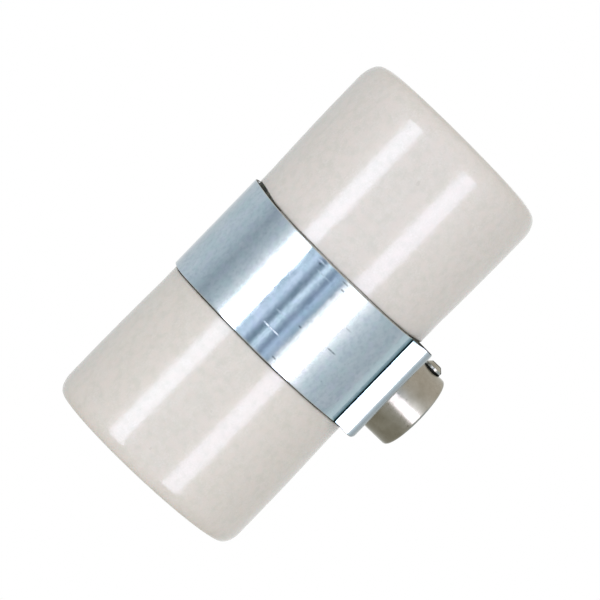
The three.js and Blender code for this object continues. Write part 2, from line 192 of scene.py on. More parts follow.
def sweep(name, path, section, frame_axes, settle=None):
    """A strip: the closed section (across, out) is carried along path (a, b).
    frame_axes are the directions of a, b and across. settle(point, out) gives a point's own place."""
    along_a, along_b, across = (Vector(v) for v in frame_axes)
    bm = bmesh.new()
    uv = bm.loops.layers.uv.new("wrap")
    rings, travel = [], []
    for i, (a, b) in enumerate(path):
        before, after = Vector(path[max(i - 1, 0)]), Vector(path[min(i + 1, len(path) - 1)])
        tangent = (after - before).normalized()
        out = along_a * tangent.y - along_b * tangent.x
        centre = along_a * a + along_b * b
        step = (Vector(path[i]) - Vector(path[i - 1])).length if i else 0
        travel.append((travel[-1] if travel else 0) + step)
        ring = []
        for side, lift in section:
            point = centre + across * side + out * lift
            ring.append(bm.verts.new(settle(point, out) if settle else point))
        rings.append(ring)
    count = len(section)
    for i in range(len(rings) - 1):
        for k in range(count):
            n = (k + 1) % count
            face = bm.faces.new([rings[i][k], rings[i + 1][k], rings[i + 1][n], rings[i][n]])
            for loop, (row, item) in zip(face.loops, [(i, k), (i + 1, k), (i + 1, n), (i, n)]):
                loop[uv].uv = (travel[row], section[item][0])
    bm.faces.new(rings[0])
    bm.faces.new(rings[-1])
    return finish_mesh(name, bm)


def strip_section(width, thickness, edge, count):
    """A flat bar's outline with rounded edges, split into count lengths across its width."""
    half = thickness / 2
    side, lift = width / 2 - edge, half - edge  # middle of each rounded edge
    outline = [(-side + 2 * side * i / count, half) for i in range(count)]
    outline += arc(side, lift, edge, math.pi / 2, 0, 3)
    outline += arc(side, -lift, edge, 0, -math.pi / 2, 3)
    outline += [(side - 2 * side * i / count, -half) for i in range(1, count)]
    outline += arc(-side, -lift, edge, -math.pi / 2, -math.pi, 3)
    outline += arc(-side, lift, edge, math.pi, math.pi / 2, 3)[:-1]
    return outline


def prism(sides, radius, x0, x1):
    """A straight bar with a regular outline, along +X; used to cut and to make hexagons."""
    bm = bmesh.new()
    rings = []
    for x in (x0, x1):
        angles = [TAU * k / sides for k in range(sides)]
        rings.append([bm.verts.new((x, radius * math.cos(a), radius * math.sin(a))) for a in angles])
    for k in range(sides):
        n = (k + 1) % sides
        bm.faces.new([rings[0][k], rings[0][n], rings[1][n], rings[1][k]])
    bm.faces.new(rings[0][::-1])
    bm.faces.new(rings[1])
    return finish_mesh("bar", bm)


def slab(low, high):
    """A straight-sided block, used to cut slots."""
    bm = bmesh.new()
    bmesh.ops.create_cube(bm, size=1)
    size, middle = Vector(high) - Vector(low), (Vector(high) + Vector(low)) / 2
    for vert in bm.verts:
        vert.co = Vector(a * b for a, b in zip(vert.co, size)) + middle
    return finish_mesh("block", bm)


def moved(obj, matrix):
    """Moves the points of a piece's mesh; its object stays at the origin."""
    obj.data.transform(matrix)
    return obj


def drill(radius, x0, x1, y=0, z=0, sides=32):
    """A cutter along X, at (y, z)."""
    return moved(prism(sides, radius, x0, x1), Matrix.Translation((0, y, z)))


def combine(obj, others, operation, sharp_deg=35):
    """Cuts, joins or crosses obj with the others, in place, and removes them."""
    for other in others:
        modifier = obj.modifiers.new("combine", "BOOLEAN")
        modifier.operation = operation
        modifier.solver = "EXACT"
        modifier.object = other
        bpy.context.view_layer.update()
        result = bpy.data.meshes.new_from_object(
            obj.evaluated_get(bpy.context.evaluated_depsgraph_get())
        )
        obj.modifiers.clear()
        obj.data = result
        bpy.data.objects.remove(other)
    bm = bmesh.new()
    bm.from_mesh(obj.data)
    shade(bm, obj.data, sharp_deg)
    return obj


def along(direction):
    """The turn that brings a piece built along +X to another direction."""
    return Vector((1, 0, 0)).rotation_difference(Vector(direction)).to_matrix().to_4x4()


def thread(depth, pitch, start, end, runout):
    """Radius change of a right-handed thread cut between start and end along X."""
    def change(x, angle):
        inside = min(x - start, end - x) / runout
        strength = max(0.0, min(1.0, inside))
        return depth * strength * (0.5 - 0.5 * math.cos(TAU * (x / pitch - angle / TAU)))
    return change


def socket_turn(side):
    """Places a piece built in a socket's own frame: mouth along +X, hub towards -Z."""
    turn = Matrix.Rotation(0 if side > 0 else math.pi, 4, "Z")
    return Matrix.Translation(AXIS) @ turn


def dress(obj, body, finish, nodes):
    """Gives a piece its material, the body that it rides on and the CAD nodes that it stands for."""
    material, slot = finish
    obj.data.materials.clear()
    obj.data.materials.append(material)
    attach(obj, body)
    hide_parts(*nodes)
    return obj


# ---- Node trees ----
class Tree:
    """Builds a node tree, a material's or the world's. Most calls return the new node's output."""

    def __init__(self, owner):
        owner.use_nodes = True
        self.nodes, self.links = owner.node_tree.nodes, owner.node_tree.links

    def put(self, socket, value):
        """Gives a socket a number, a colour or another node's output."""
        if isinstance(value, bpy.types.NodeSocket):
            self.links.new(value, socket)
        else:
            socket.default_value = (*value, 1) if socket.type == "RGBA" else value

    def place(self, space="Object"):
        return self.nodes.new("ShaderNodeTexCoord").outputs[space]

    def axis(self, name, space="Object"):
        """One coordinate. The object's own X runs along the sockets, and its Z up from the hub's end."""
        split = self.nodes.new("ShaderNodeSeparateXYZ")
        self.links.new(self.place(space), split.inputs["Vector"])
        return split.outputs[name]

    def maths(self, operation, *values):
        node = self.nodes.new("ShaderNodeMath")
        node.operation = operation
        for socket, value in zip(node.inputs, values):
            self.put(socket, value)
        return node.outputs[0]

    def plus(self, first, second):
        return self.maths("ADD", first, second)

    def minus(self, first, second):
        return self.maths("SUBTRACT", first, second)

    def times(self, first, second):
        return self.maths("MULTIPLY", first, second)

    def dot(self, vector, space):
        """How far a place or direction goes along a fixed vector."""
        node = self.nodes.new("ShaderNodeVectorMath")
        node.operation = "DOT_PRODUCT"
        node.inputs[1].default_value = vector
        self.links.new(self.place(space), node.inputs[0])
        return node.outputs["Value"]

    def grain(self, scale, detail=2.0, stretch=(1, 1, 1), space="Object", offset=(0, 0, 0)):
        """A noise pattern's value, in object space or along the piece's own wrap."""
        mapping = self.nodes.new("ShaderNodeMapping")
        mapping.inputs["Scale"].default_value = stretch
        mapping.inputs["Location"].default_value = offset
        pattern = self.nodes.new("ShaderNodeTexNoise")
        pattern.inputs["Scale"].default_value = scale
        pattern.inputs["Detail"].default_value = detail
        self.links.new(self.place(space), mapping.inputs["Vector"])
        self.links.new(mapping.outputs["Vector"], pattern.inputs["Vector"])
        return pattern.outputs["Fac"]

    def remap(self, value, low, high, to_low=0, to_high=1):
        """Value stretched from low..high to to_low..to_high, and held there outside."""
        node = self.nodes.new("ShaderNodeMapRange")
        node.clamp = True
        keys = ("Value", "From Min", "From Max", "To Min", "To Max")
        for key, number in zip(keys, (value, low, high, to_low, to_high)):
            self.put(node.inputs[key], number)
        return node.outputs["Result"]

    def mix(self, factor, first, second, blend="MIX"):
        """A colour between two others."""
        node = self.nodes.new("ShaderNodeMix")
        node.data_type = "RGBA"
        node.blend_type = blend
        for socket, colour in zip([s for s in node.inputs if s.type == "RGBA"], (first, second)):
            self.put(socket, colour)
        self.links.new(factor, node.inputs["Factor"])
        return next(s for s in node.outputs if s.type == "RGBA")

    def ramp(self, value, stops):
        """A row of colours; each stop is (position from 0 to 1, colour)."""
        node = self.nodes.new("ShaderNodeValToRGB")
        self.links.new(value, node.inputs["Fac"])
        elements = node.color_ramp.elements
        while len(elements) > 1:
            elements.remove(elements[-1])
        for i, (position, colour) in enumerate(stops):
            element = elements.new(position) if i else elements[0]
            element.position = position
            element.color = (*colour, 1)
        return node.outputs["Color"]

    def either(self, factor, no, yes):
        """One of two shaders."""
        node = self.nodes.new("ShaderNodeMixShader")
        for socket, output in zip(node.inputs, (factor, no, yes)):
            self.links.new(output, socket)
        return node.outputs[0]


class Finish(Tree):
    """A material: its tone is built up coat by coat, and done() puts it on the surface."""

    def __init__(self, name, colour, roughness, metallic=0.0, ior=1.5, first_coat=None):
        self.material = bpy.data.materials.new(name)
        super().__init__(self.material)
        self.surface = self.nodes["Principled BSDF"]
        self.set("Base Color", colour)
        self.set("Roughness", roughness)
        self.set("Metallic", metallic)
        self.set("IOR", ior)
        self.tone = first_coat

    def set(self, key, value):
        self.put(self.surface.inputs[key], value)

    def coat(self, mask, colour, blend="MIX"):
        """Lays a colour over the tone, as far as the mask says."""
        self.tone = self.mix(mask, self.tone, colour, blend)

    def patches(self, scale, detail, low, high, strength, colour, offset=(0, 0, 0)):
        """Lays a colour over the tone where a noise pattern is between low and high, or above."""
        pattern = self.grain(scale, detail, offset=offset)
        self.coat(self.remap(pattern, low, high, 0, strength), colour)

    def done(self, roughness=None, bumps=()):
        """Puts tone, roughness and bump on the surface; each bump is (value, depth in metres)."""
        self.set("Base Color", self.tone)
        if roughness is not None:
            self.set("Roughness", roughness)
        normal = None
        for value, depth in bumps:
            node = self.nodes.new("ShaderNodeBump")
            node.inputs["Distance"].default_value = depth
            self.links.new(value, node.inputs["Height"])
            if normal is not None:
                self.links.new(normal, node.inputs["Normal"])
            normal = node.outputs["Normal"]
        self.set("Normal", normal)
        return self.material


# ---- Materials ----
def near_strap_edge(look, reach):
    """1 in the narrow gap beside the strap's edges, where painted shade with a little soiling goes; it
    fades out over reach.
    """
    along_x = look.minus(look.axis("X"), look.times(look.axis("Y"), SKEW))
    edge = look.remap(look.axis("Y"), -FRONT_TO, -FRONT_FROM, STRAP_HALF * FRONT_WIDTH, STRAP_HALF)
    past = look.minus(look.maths("ABSOLUTE", along_x), edge)
    return look.remap(past, CUP_GAP, CUP_GAP + reach, 1, 0)


def glaze():
    """Warm light grey porcelain under a clear gloss glaze with a fine orange-peel skin."""
    look = Finish("glazed_porcelain", (0.74, 0.70, 0.66), 0.12, ior=1.52, first_coat=(0.690, 0.640, 0.575))
    look.patches(60, 3, 0.33, 0.70, 1, (0.735, 0.690, 0.628))
    look.patches(2600, 3, 0.30, 0.70, 1, (0.765, 0.715, 0.665))
    look.patches(620, 3, 0.42, 0.66, 0.65, (0.665, 0.634, 0.568), offset=(0.3, 0.1, 0.2))
    look.patches(450, 3, 0.45, 0.66, 0.7, (0.765, 0.695, 0.640), offset=(0.6, 0.2, 0.9))
    cup_b = look.remap(look.axis("X"), MM, -MM, 0, 0.4)  # cup b is a little yellower than cup a
    look.coat(cup_b, (0.985, 0.98, 0.94), "MULTIPLY")
    look.patches(620, 1, 0.785, 0.82, 0.2, (0.42, 0.38, 0.32))
    # Painted shade, with a little soiling, darkens the porcelain in the gap beside the strap's edges
    uneven = look.remap(look.grain(420, 3), 0.25, 0.65, 0.35, 0.9)
    gap_shade_and_dirt = look.times(near_strap_edge(look, 0.4 * MM), uneven)
    look.coat(gap_shade_and_dirt, (0.16, 0.145, 0.10))
    gloss = look.remap(look.grain(700, 3), 0.3, 0.7, 0.11, 0.19)
    look.set("Sheen Weight", 0.26)
    look.set("Sheen Roughness", 0.3)
    look.set("Sheen Tint", (1.0, 0.98, 0.93))
    look.set("Subsurface Weight", 0.06)
    look.set("Subsurface Scale", MM)
    bumps = [(look.grain(150, 2), 0.03 * MM), (look.grain(1500, 3), 0.014 * MM)]
    return look.done(look.plus(gloss, look.times(gap_shade_and_dirt, 0.5)), bumps)


def bisque():
    """Bare fired porcelain, where no glaze runs."""
    look = Finish("bare_porcelain", (0.74, 0.70, 0.63), 0.75, first_coat=(0.66, 0.61, 0.53))
    look.coat(look.grain(400, 4), (0.78, 0.75, 0.69))
    return look.done(bumps=[(look.grain(2500, 4), 0.05 * MM)])


def grime():
    """Near-black painted shade in the groove beside the strap, with a little grease and soiling."""
    look = Finish("grime", (0.03, 0.03, 0.022), 0.7, first_coat=(0.022, 0.022, 0.015))
    look.patches(700, 3, 0.35, 0.7, 1, (0.14, 0.135, 0.095))
    return look.done(bumps=[(look.grain(2200, 3), 0.03 * MM)])


def stroke(look, start, end, across):
    """A short scratch along the strip: its stretch of the wrap, and where it lies across."""
    def band(axis, middle, core, half):
        away = look.maths("ABSOLUTE", look.minus(look.axis(axis, "UV"), middle))
        return look.remap(away, core * half, half, 1, 0)

    lengthwise = band("X", (start + end) / 2, 0.5, (end - start) / 2)
    return look.times(lengthwise, band("Y", across, 0.4, MARK_HALF))


def near_crease(look, inner, outer, ragged):
    """1 close to the crease at the foot of the strap's near side; ragged moves its border."""
    off_y = look.minus(look.axis("Y"), -SEAT_HALF)
    off_z = look.minus(look.axis("Z"), CREASE_Z)
    square = look.plus(look.times(off_y, off_y), look.times(off_z, off_z))
    distance = look.plus(look.maths("POWER", square, 0.5), ragged)
    return look.remap(distance, inner, outer, 1, 0)


def zinc(marks):
    """Bright bluish zinc plating on rolled strip, with fine rolling lines and a few handling marks.
    marks are (start, end, across, depth) along the strip's own wrap, in metres; depth runs from
    -1, a bright scratch, to 1, a dark one."""
    look = Finish("zinc_plate", (0.72, 0.77, 0.80), 0.14, metallic=1.0, first_coat=(0.705, 0.765, 0.79))
    look.patches(230, 3, 0.35, 0.65, 1, (0.80, 0.815, 0.85))
    look.patches(480, 3, 0.48, 0.66, 0.7, (0.69, 0.79, 0.80), offset=(0.4, 0.2, 0.1))
    look.patches(520, 3, 0.52, 0.68, 0.7, (0.76, 0.765, 0.85), offset=(0.1, 0.7, 0.5))
    look.patches(950, 3, 0.45, 0.70, 0.5, (0.56, 0.61, 0.66))
    look.patches(1500, 2, 0.70, 0.78, 0.5, (0.38, 0.43, 0.47))
    rolling = look.grain(1, 3, stretch=(5200, 60, 1), space="UV")
    look.coat(look.remap(rolling, 0.55, 0.75, 0, 0.16), (0.50, 0.56, 0.61))
    haze = look.remap(look.grain(260, 4), 0.35, 0.75, 0.07, 0.15)
    rough = look.plus(haze, look.remap(rolling, 0.35, 0.7, 0, 0.03))
    for start, end, across, depth in marks:
        strength = abs(depth)
        worn_away = look.remap(look.grain(2600, 2), 0.3, 0.5, 0.35 * strength, strength)
        scratch = look.times(stroke(look, start, end, across), worn_away)
        look.coat(scratch, (0.16, 0.19, 0.21) if depth > 0 else (0.97, 0.98, 0.99))
        if depth < 0:
            rough = look.plus(rough, look.times(scratch, 0.35))
    # The crease in front: painted shade, black right in the crease and dark green-blue beside it, then a
    # pale teal painted reflection
    height = look.axis("Z")
    flecks = look.remap(look.grain(900, 3), 0.2, 0.7, -0.45 * MM, 0.45 * MM)
    above = look.remap(height, CREASE_Z + 0.15 * MM, CREASE_Z + 0.5 * MM)
    crease_teal_reflection = look.times(near_crease(look, 3.3 * MM, 4.4 * MM, flecks), above)
    look.coat(look.times(crease_teal_reflection, 0.6), (0.78, 0.92, 0.94))
    look.coat(look.times(near_crease(look, 0.7 * MM, 1.7 * MM, flecks), 0.75), (0.24, 0.40, 0.42))
    ragged = look.remap(look.grain(900, 3), 0.2, 0.7, -0.03 * MM, 0.05 * MM)
    crease_shade = near_crease(look, 0.22 * MM, 0.36 * MM, ragged)
    look.coat(crease_shade, (0.008, 0.013, 0.013))
    dull_shaded_fold = look.remap(height, SEAT_Z + 0.5 * MM, SEAT_Z + 1.9 * MM, 1, 0)  # painted shade, greyer and duller on the fold down to the seat
    look.coat(dull_shaded_fold, (0.62, 0.63, 0.62))
    rough = look.plus(look.plus(rough, look.times(crease_shade, 0.6)), look.times(dull_shaded_fold, 0.22))
    bumps = [(look.grain(240, 3), 0.009 * MM), (look.grain(1100, 3), 0.006 * MM), (rolling, 0.0012 * MM)]
    return look.done(rough, bumps)


def turned_metal(name, dark, light, roughness, lines=3200):
    """Turned or drawn metal: fine lines round the piece, soft stains and small pits."""
    look = Finish(name, light, roughness, metallic=1.0, first_coat=dark)
    look.patches(330, 4, 0.32, 0.72, 1, light)
    look.patches(2100, 2, 0.70, 0.76, 0.6, tuple(c * 0.35 for c in dark))
    tool = look.grain(1, 2, stretch=(40, lines, 1), space="UV")
    rough = look.remap(tool, 0.3, 0.7, roughness * 0.8, roughness * 1.3)
    return look.done(rough, [(tool, 0.0018 * MM), (look.grain(700, 3), 0.006 * MM)])


def plain_metal(name, dark, light, roughness):
    """Sheet or sawn metal with no turning lines, for pieces whose surface has no wrap."""
    look = Finish(name, light, roughness, metallic=1.0, first_coat=dark)
    look.patches(420, 4, 0.3, 0.7, 1, light)
    scuffs = look.grain(900, 3, stretch=(1, 1, 9))
    rough = look.remap(scuffs, 0.3, 0.7, roughness * 0.75, roughness * 1.35)
    return look.done(rough, [(scuffs, 0.006 * MM)])


def fibre():
    """Brown pressboard with its pressed fibres."""
    look = Finish("pressboard", (0.36, 0.21, 0.12), 0.8, first_coat=(0.25, 0.14, 0.075))
    look.coat(look.grain(1500, 5, stretch=(1, 1, 0.3)), (0.46, 0.29, 0.17))
    return look.done(bumps=[(look.grain(2600, 4, stretch=(1, 1, 0.3)), 0.03 * MM)])


BISQUE = bisque()
# Near-black painted shade for the groove beside the strap
GROOVE_SHADE_AND_GRIME = grime()
# Painted shade: near-black for the strap's cut edges and for their rounding on the walls
CUT_EDGE_AND_SHADE = plain_metal("cut_edge", (0.045, 0.045, 0.04), (0.13, 0.135, 0.12), 0.5)
# Painted shade: near-black for the locking screw's thread at its root, and a painted dark reflection on
# its end
GRUB_SHADE = plain_metal("dirty_thread", (0.010, 0.010, 0.009), (0.07, 0.068, 0.06), 0.55)
satin_steel = turned_metal("satin_steel", (0.42, 0.395, 0.345), (0.56, 0.54, 0.50), 0.2, lines=1200)
grub_steel = turned_metal("grub_steel", (0.40, 0.39, 0.345), (0.66, 0.65, 0.60), 0.26)
screw_steel = turned_metal("screw_steel", (0.52, 0.55, 0.58), (0.72, 0.74, 0.76), 0.24)
nickel_plate = turned_metal("nickel_plate", (0.55, 0.52, 0.46), (0.76, 0.73, 0.67), 0.22)
rolled_brass = turned_metal("rolled_brass", (0.52, 0.36, 0.13), (0.78, 0.60, 0.28), 0.22, lines=1500)
sawn_brass = plain_metal("sawn_brass", (0.50, 0.35, 0.13), (0.74, 0.56, 0.27), 0.32)
spring_bronze = plain_metal("spring_bronze", (0.52, 0.30, 0.14), (0.74, 0.48, 0.26), 0.26)

# Each finish is a material and the record's slot that it belongs to
GLAZE = (glaze(), "glazed_porcelain")
HUB_STEEL = (satin_steel, "satin_hub")
GRUB_STEEL = (grub_steel, "grub_steel")
SCREW_STEEL = (screw_steel, "fastener_steel")
NICKEL = (nickel_plate, "fastener_nickel")
SHELL_BRASS = (rolled_brass, "shell_brass")
BLOCK_BRASS = (sawn_brass, "terminal_brass")
BRONZE = (spring_bronze, "contact_bronze")
PRESSBOARD = (fibre(), "pressboard")


# ---- Porcelain cups ----
def smooth(value, low, high):
    """0 below low, 1 above high, and an easy curve between them."""
    t = max(0.0, min(1.0, (value - low) / (high - low)))
    return t * t * (3 - 2 * t)


def skewed(y, z):
    """The strap sits a little askew on the cups: how far it is moved along X at this place."""
    on_cups = smooth(z, SEAT_Z + 2 * MM, SEAT_Z + 7 * MM)
    return SKEW * y * on_cups + SEAT_SHIFT * (1 - on_cups)


def strap_half(y):
    """Half the strap's width at this distance from the middle; it is a little narrower in front."""
    return STRAP_HALF * (1 + (FRONT_WIDTH - 1) * smooth(-y, FRONT_FROM, FRONT_TO))


def cup(letter, side):
    """One porcelain cup, turned from an outline, then pocketed for the tie screws and the wires."""
    node = f"porcelain_socket_{letter}"
    low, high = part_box(node)
    mouth_x = max(abs(low.x), abs(high.x)) - WORN_BACK[letter]
    back_x = min(abs(low.x), abs(high.x))
    mouth_r = (high.y - low.y) / 2
    waist_r = mouth_r - (0.45 if side > 0 else 0.4) * MM
    groove_x, groove_r = 12.2 * MM, 22.8 * MM  # the strap sits in this groove
    flare_x = mouth_x * 0.75
    lip_depth, lip_width, rim_drop = LIPS[letter]
    lip_end, crest_r = math.radians(76), mouth_r - 4.6 * MM
    lip_x, lip_r = mouth_x - rim_drop - lip_depth * math.sin(lip_end), mouth_r - lip_width
    inner_r, bore_r, bore_x = crest_r - 1 * MM, 14.3 * MM, 39 * MM
    depth = 1.6 * MM  # of the rounding inside the rim
    chamber_r, mouth_bore_r = 17.5 * MM, 16.3 * MM
    outer = filleted([
        (WEB_BACK_X, chamber_r, 0.8 * MM),
        (back_x, chamber_r, 0.3 * MM),
        (back_x, groove_r, 0.5 * MM),
        (groove_x - 0.9 * MM, groove_r),
        (groove_x, groove_r, 0.1 * MM),
        (groove_x, waist_r, 0.16 * MM),
        (groove_x + 4 * MM, waist_r + 0.06 * MM),
    ])
    outer[0:1] = [(WEB_BACK_X, 0), (WEB_BACK_X, chamber_r)]
    for i in range(1, 25):  # the slight flare, easing out towards the mouth
        t = i / 24
        x = groove_x + 4 * MM + (flare_x - groove_x - 4 * MM) * t
        outer.append((x, waist_r + 0.06 * MM + (mouth_r - waist_r - 0.06 * MM) * (1 - (1 - t) ** 1.7)))
    outer += subdivided((flare_x, mouth_r), (lip_x, mouth_r), 8)[1:]
    for i in range(1, 21):  # the mouth's rounding
        angle = lip_end * i / 20
        outer.append((lip_x + lip_depth * math.sin(angle), lip_r + lip_width * math.cos(angle)))
    rim_r = outer[-1][1]
    for i in range(1, 9):  # the rim's face falls back towards that rounding
        t = i / 8
        outer.append((mouth_x - rim_drop * (1 - t) ** 1.9, rim_r + (crest_r - rim_r) * t))
    for i in range(0, 9):  # and rounds off into the mouth
        angle = math.pi / 2 * (1 - i / 8)
        outer.append((mouth_x - depth + depth * math.sin(angle), inner_r - depth * math.cos(angle)))
    inner = filleted([
        outer[-1],
        (bore_x + 1 * MM, mouth_bore_r - 0.6 * MM, 0.5 * MM),
        (bore_x, bore_r, 0.5 * MM),
        (FLOOR_X, bore_r, 0.6 * MM),
        (FLOOR_X, 0),
    ])
    outline = outer + inner[1:]
    seed = Vector((side * 3.1, 7.7, 2.3))
    wide_gap = (0.42 if side > 0 else 0.05) * MM  # more room beside the strap at the top

    def kiln(x, radius, angle):
        """The glazed outside isn't quite round or straight, and the groove follows the strap."""
        y, z = side * radius * math.cos(angle), AXIS_Z + radius * math.sin(angle)
        x += MOUTH_TILT * (z - AXIS_Z) * smooth(x, bore_x, mouth_x)
        if radius < 20 * MM or x < back_x + 2 * MM:
            return x, radius
        near = 1 - smooth(x, groove_x + 0.6 * MM, groove_x + 4 * MM)
        gap = 0.16 * MM + 0.10 * MM * noise.noise(Vector((side * 9, y * 160, z * 160)))
        gap += wide_gap * smooth(z - AXIS_Z, 19 * MM, 22.6 * MM)
        edge = strap_half(y) + side * skewed(y, z) + gap
        at = x + (edge - groove_x) * near * smooth(x, back_x + 2 * MM, groove_x)
        if x < groove_x + 0.3 * MM:
            return at, radius
        spot = Vector((x * 45, 1.6 * math.cos(angle), 1.6 * math.sin(angle))) + seed
        return at, radius - 0.05 * MM + 0.05 * MM * noise.noise(spot)

    obj = revolve(f"cup_{letter}", outline, 160, kiln)
    fixing_hole, tie_hole, wire_hole = 1.55 * MM, 1.75 * MM, 7.7 * MM
    head_pocket, nut_pocket = 3.0 * MM, 6.1 * MM / math.sqrt(3)  # round, and six-sided
    pocket = (FLOOR_X - 2.6 * MM, FLOOR_X + 1 * MM)
    fixings, ties = ((0, FIXING_R), (FIXING_R, 0), (-FIXING_R, 0)), ((TIE_Y, TIE_Z), (-TIE_Y, TIE_Z))
    cutters = [drill(fixing_hole, 8 * MM, 16 * MM, y, z) for y, z in fixings]
    cutters += [drill(tie_hole, 8 * MM, 14 * MM, y, z) for y, z in ties]
    cutters.append(drill(head_pocket, *pocket, *ties[0], sides=40))
    cutters.append(drill(nut_pocket, *pocket, *ties[1], sides=6))
    cutters.append(moved(prism(64, wire_hole, 14 * MM, 30 * MM), along((0, 0, -1))))
    combine(obj, cutters, "DIFFERENCE")
    moved(obj, socket_turn(side))
    dress(obj, "lampholder", GLAZE, [node])
    obj.data.materials.append(BISQUE)
    obj.data.materials.append(GROOVE_SHADE_AND_GRIME)
    for face in obj.data.polygons:  # no glaze on the joint, and near-black painted shade with a little soiling in the groove
        distance_x = abs(face.center.x)
        radius = math.hypot(face.center.y, face.center.z - AXIS_Z)
        if distance_x < WEB_BACK_X + 0.4 * MM:
            face.material_index = 1
        elif distance_x < 13.5 * MM and groove_r - 0.3 * MM < radius < waist_r - 0.12 * MM:
            face.material_index = 2
    return obj


for letter, side in SIDES.items():
    cup(letter, side)


# ---- Strap ----
def strap_line():
    """The strip's middle line in (y, z): seat, fold, wall, round the body, wall, fold, inner lap."""
    wall, radius = SEAT_HALF - SHEET / 2, STRAP_R - SHEET / 2
    fold, crease = 1.9 * MM, 0.45 * MM
    outer_z = SEAT_Z + SHEET / 2
    inner_z = outer_z + SHEET + LAP_GAP
    drop = math.sqrt((radius + crease) ** 2 - (wall + crease) ** 2)
    crease_z = AXIS_Z - drop
    lean = math.atan2(drop, wall + crease)
    foot = wall - LEAN  # the near wall leans in a little on its way down to the seat
    line = subdivided((wall - 0.2 * MM, outer_z), (-foot + fold, outer_z), 26)
    line += arc(-foot + fold, outer_z + fold, fold, -math.pi / 2, -math.pi, 10)[1:]
    line += subdivided((-foot, outer_z + fold), (-wall, crease_z), 10)[1:]
    line += arc(-wall - crease, crease_z, crease, 0, lean, 8)[1:]
    line += arc(0, AXIS_Z, radius, lean + math.pi, -lean, 220)[1:]
    line += arc(wall + crease, crease_z, crease, math.pi - lean, math.pi, 6)[1:]
    line += subdivided((wall, crease_z), (wall, inner_z + fold), 6)[1:]
    line += arc(wall - fold, inner_z + fold, fold, 0, -math.pi / 2, 8)[1:]
    line += subdivided((wall - fold, inner_z), (-wall + 2 * MM, inner_z), 24)[1:]
    return line


def wrap_at(line, angle):
    """Distance along the strip to where it faces a direction: 0 is towards -Y, a quarter turn is +Z."""
    target = Vector((-math.cos(angle), math.sin(angle))) * STRAP_R + Vector((0, AXIS_Z))
    travel, places = 0.0, []
    for before, here in zip(line, line[1:]):
        travel += (Vector(here) - Vector(before)).length
        places.append(((Vector(here) - target).length, travel))
    return min(places)[1]


def strap_settled(point, out):
    """Hand-bent strip: a little off round, askew, narrower in front, its near corners rounded off."""
    above = smooth(point.z, SEAT_Z + 2 * MM, SEAT_Z + 4 * MM)
    wave = 0.012 * MM * noise.noise(Vector((point.x * 60, point.y * 75, point.z * 75))) * above
    width = 1 + (strap_half(point.y) / STRAP_HALF - 1) * above + (SEAT_WIDTH - 1) * (1 - above)
    corner = CORNER_B if point.x < 0 else CORNER_A
    down = max(0.0, min(1.0, (SEAT_Z + corner - point.z) / corner))
    outward = smooth(-point.y, SEAT_HALF - 5 * MM, SEAT_HALF - 3.2 * MM)
    width -= corner * (1 - math.sqrt(1 - (down * outward) ** 2)) / STRAP_HALF
    return Vector((point.x * width + skewed(point.y, point.z), point.y, point.z)) + out * wave


line = strap_line()
# Handling marks: degrees from the front towards the top, half length and place across in mm, depth
MARKS = [
    (-16.9, 1.0, 4.5, 0.3),
    (-17.6, 1.4, -1.06, 0.75),
    (10.7, 2.5, -6.1, -0.9),
    (11, 2.0, 8.95, -0.4),
    (14.1, 1.7, 10.75, -0.5),
    (-1, 0.55, 9.5, 0.8),
    (0, 0.9, 10.9, 0.6),
    (0.5, 0.6, -10.0, 0.8),
    (0.9, 0.45, -1.8, 0.7),
    (12.7, 1.1, -2.5, -0.35),
    (15.2, 0.5, 10.2, 0.7),
    (29.2, 1.0, 7.4, -0.4),
    (140, 2.6, 4.2, 0.7),
    (205, 1.9, -5.5, 0.7),
    (96, 3.1, -2.4, -0.7),
]
marks = []
for angle, half, across, depth in MARKS:
    middle = wrap_at(line, math.radians(angle))
    marks.append((middle - half * MM, middle + half * MM, across * MM, depth))
ZINC = (zinc(marks), "zinc_strap")

section = strip_section(STRAP_HIGH.x - STRAP_LOW.x, SHEET, 0.16 * MM, 28)
strap = sweep("strap", line, section, ((0, 1, 0), (0, 0, 1), (1, 0, 0)), strap_settled)
spigot_hole = moved(prism(64, 6.2 * MM, 0, 16 * MM), along((0, 0, 1)))
combine(strap, [spigot_hole], "DIFFERENCE")
dress(strap, "lampholder", ZINC, ["clamp_strap"])
strap.data.materials.append(CUT_EDGE_AND_SHADE)
for face in strap.data.polygons:  # the two cut edges are dark, their own dull steel deepened by painted shade, and on the walls their rounding carries painted shade too
    on_wall = face.center.x > 0 and face.center.z < CREASE_Z
    slant = 0.25 if on_wall else 0.75
    if abs(face.normal.x) > slant and abs(face.center.x) > 9 * MM:
        face.material_index = 1


